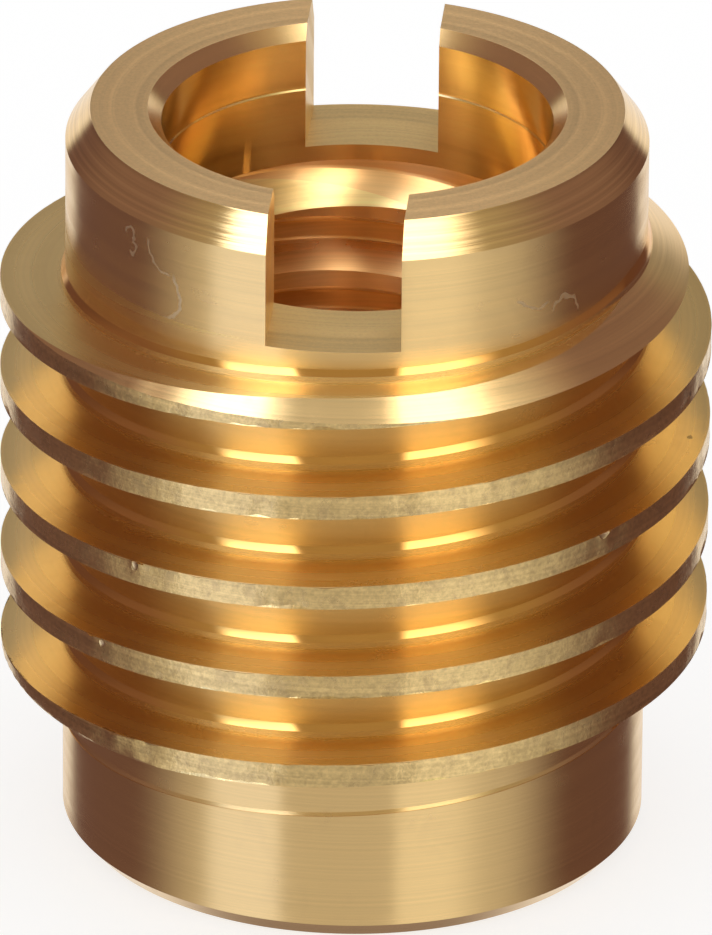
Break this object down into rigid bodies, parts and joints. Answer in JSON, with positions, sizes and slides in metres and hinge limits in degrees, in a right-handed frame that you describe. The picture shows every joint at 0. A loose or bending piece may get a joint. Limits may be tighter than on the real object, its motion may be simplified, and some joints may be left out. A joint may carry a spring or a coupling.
{
  "type": "threaded insert",
  "caption": "Turned brass insert for wood with a coarse knife thread outside, a tapped through hole and a slotted head.",
  "frame": {"origin": "centre of the flat end face of the pilot, which the part stands on", "axes": "+Z along the insert's axis towards the slotted head; Y along the screwdriver slot; X across it"},
  "size_m": [0.0116, 0.0116, 0.0127],
  "materials": {
    "turned_brass": "bright turned, with fine tool lines, small burrs on the crests and a few nicks"
  },
  "bodies": {
    "root": {"insert_body": "turned_brass"}
  },
  "joints": []
}
